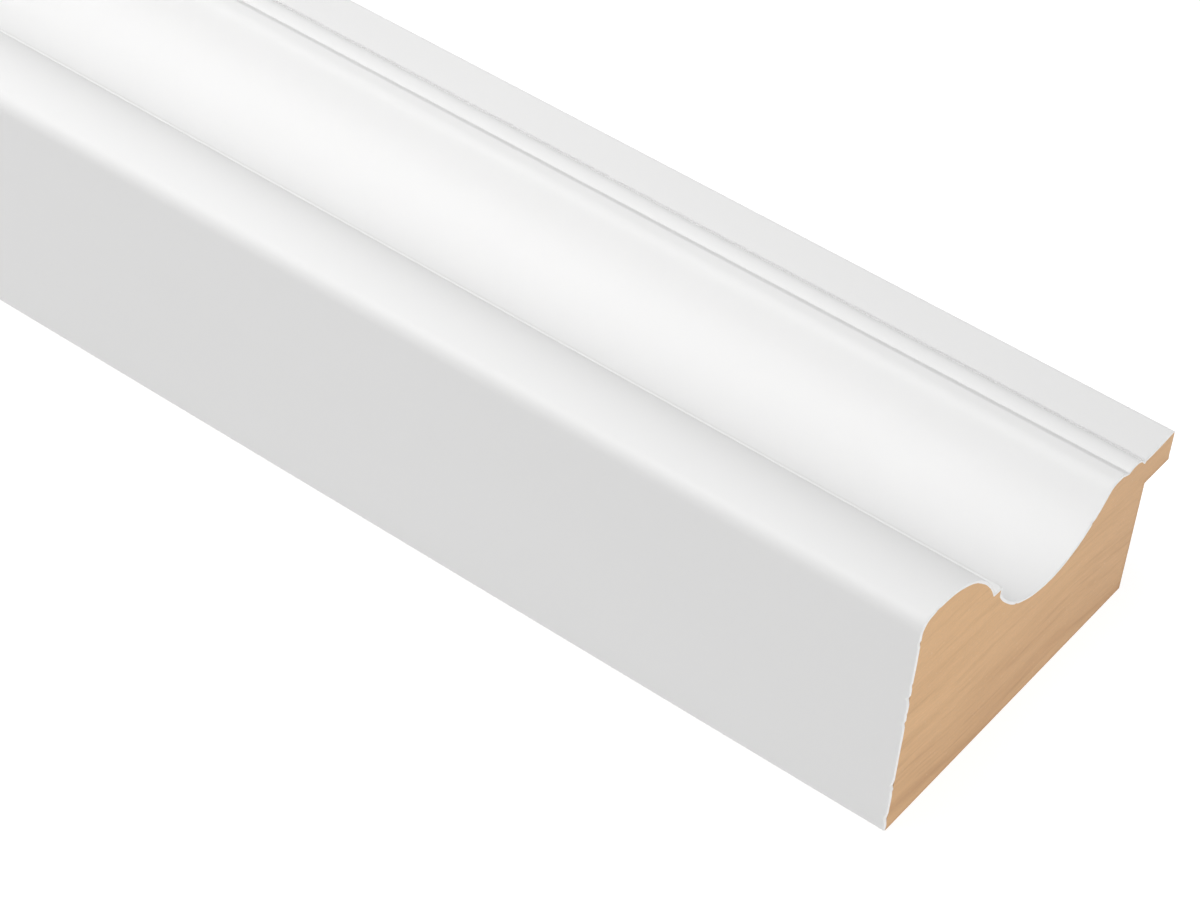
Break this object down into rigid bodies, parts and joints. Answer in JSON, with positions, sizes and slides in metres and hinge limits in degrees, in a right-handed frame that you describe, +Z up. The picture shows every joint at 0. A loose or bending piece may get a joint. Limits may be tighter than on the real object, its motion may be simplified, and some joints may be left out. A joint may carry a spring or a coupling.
{
  "type": "picture frame moulding",
  "caption": "Straight length of white painted timber frame moulding: tall rounded outer crest, ledge, broad cove, bead and flat lip over a rebate, with square-cut ends.",
  "frame": {"origin": "middle of the flat back, half way along the length and half way across the overall width", "axes": "+X along the moulding towards the saw cut that the picture shows, +Y across it from the tall outer side to the sight edge, +Z up out of the face"},
  "size_m": [0.21, 0.068, 0.04],
  "materials": {
    "white_paint": "satin white paint over the timber's face, outer side and sight edge",
    "bare_timber": "bare timber at the saw cuts, the back and the rebate"
  },
  "bodies": {
    "root": {"frame_moulding": "white_paint"}
  },
  "joints": []
}
